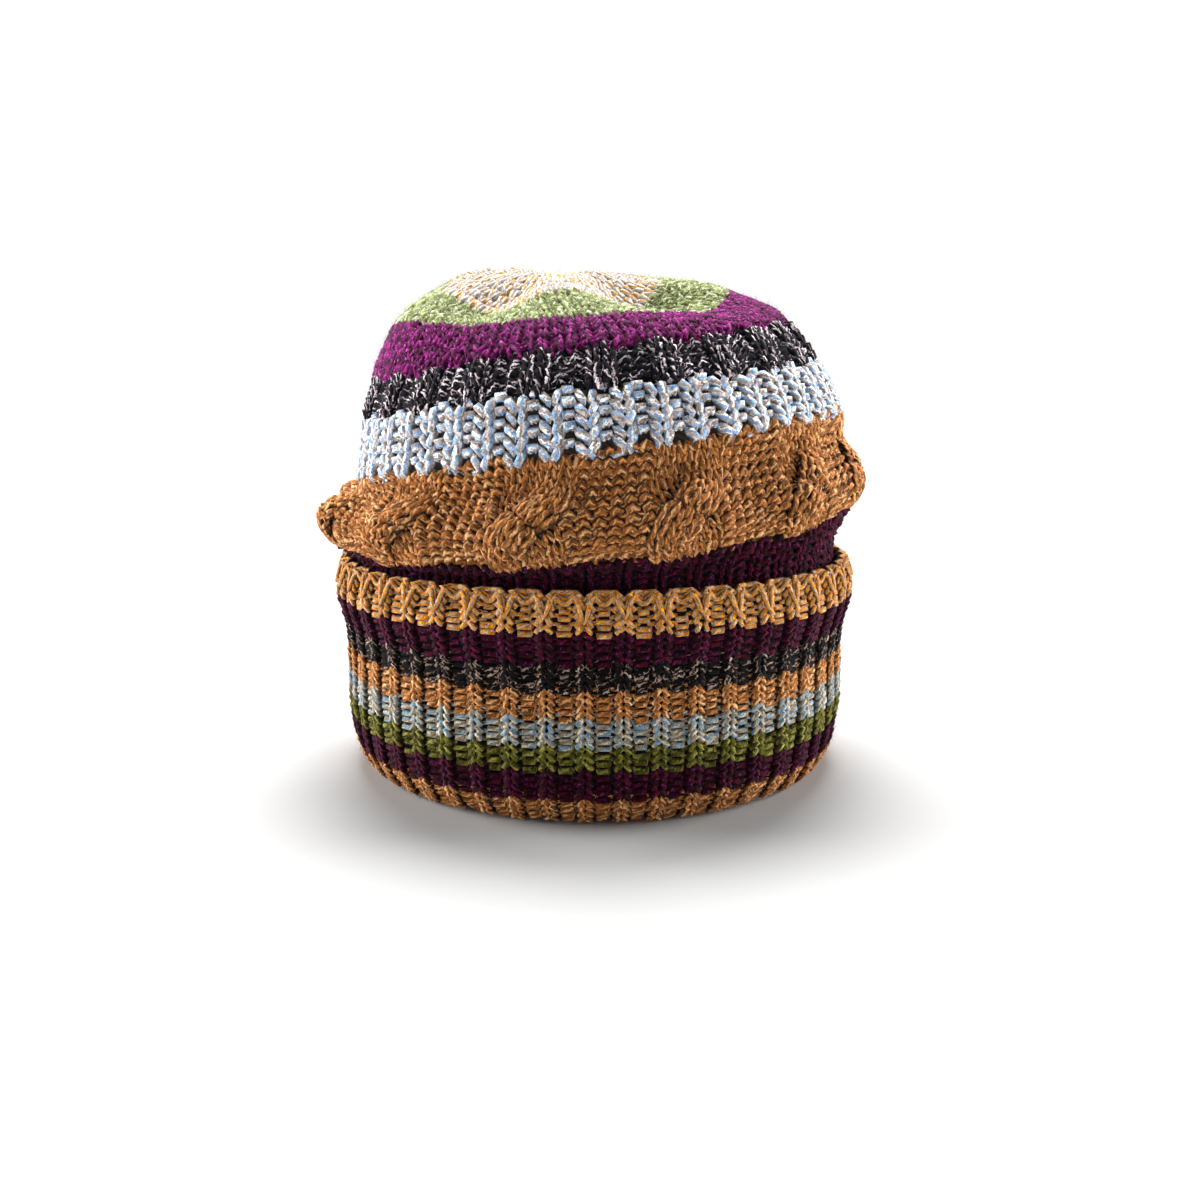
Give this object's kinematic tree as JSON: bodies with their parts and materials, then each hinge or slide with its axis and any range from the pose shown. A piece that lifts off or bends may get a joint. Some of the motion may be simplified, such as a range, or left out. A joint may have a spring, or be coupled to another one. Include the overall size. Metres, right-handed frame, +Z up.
{
  "type": "cable knit beanie",
  "caption": "Knitted wool cap in stripes of several yarns, with a band of cables, a gathered crown that slouches to one side, and a turned-up ribbed cuff.",
  "frame": {"origin": "middle of the box's base, on the surface that the cuff's hem rests on", "axes": "+Z up to the crown, the front faces -Y, +X to the right as seen from the front"},
  "size_m": [0.1905, 0.1906, 0.1766],
  "materials": {
    "mustard_marl_yarn": "woolly marl knit of mustard and grey strands",
    "plum_yarn": "fuzzy wool knit",
    "charcoal_marl_yarn": "black wool knit flecked with cream",
    "camel_yarn": "woolly camel knit",
    "ice_marl_yarn": "marl knit of light blue, cream and taupe strands",
    "green_yarn": "fuzzy wool knit",
    "oatmeal_marl_yarn": "marl knit of oatmeal and mustard strands"
  },
  "bodies": {
    "root": {"cuff_hem": "camel_yarn", "cuff_plum_lower": "plum_yarn", "cuff_green": "green_yarn", "cuff_ice": "ice_marl_yarn", "cuff_camel": "camel_yarn", "cuff_charcoal": "charcoal_marl_yarn", "cuff_plum_upper": "plum_yarn", "cuff_mustard_edge": "mustard_marl_yarn", "inner_band": "camel_yarn", "tuck_plum_stripe": "plum_yarn", "cable_band": "camel_yarn", "crown_ice_rib": "ice_marl_yarn", "crown_charcoal_stripe": "charcoal_marl_yarn", "crown_plum_stripe": "plum_yarn", "crown_green_stripe": "green_yarn", "crown_tip": "oatmeal_marl_yarn"}
  },
  "joints": []
}
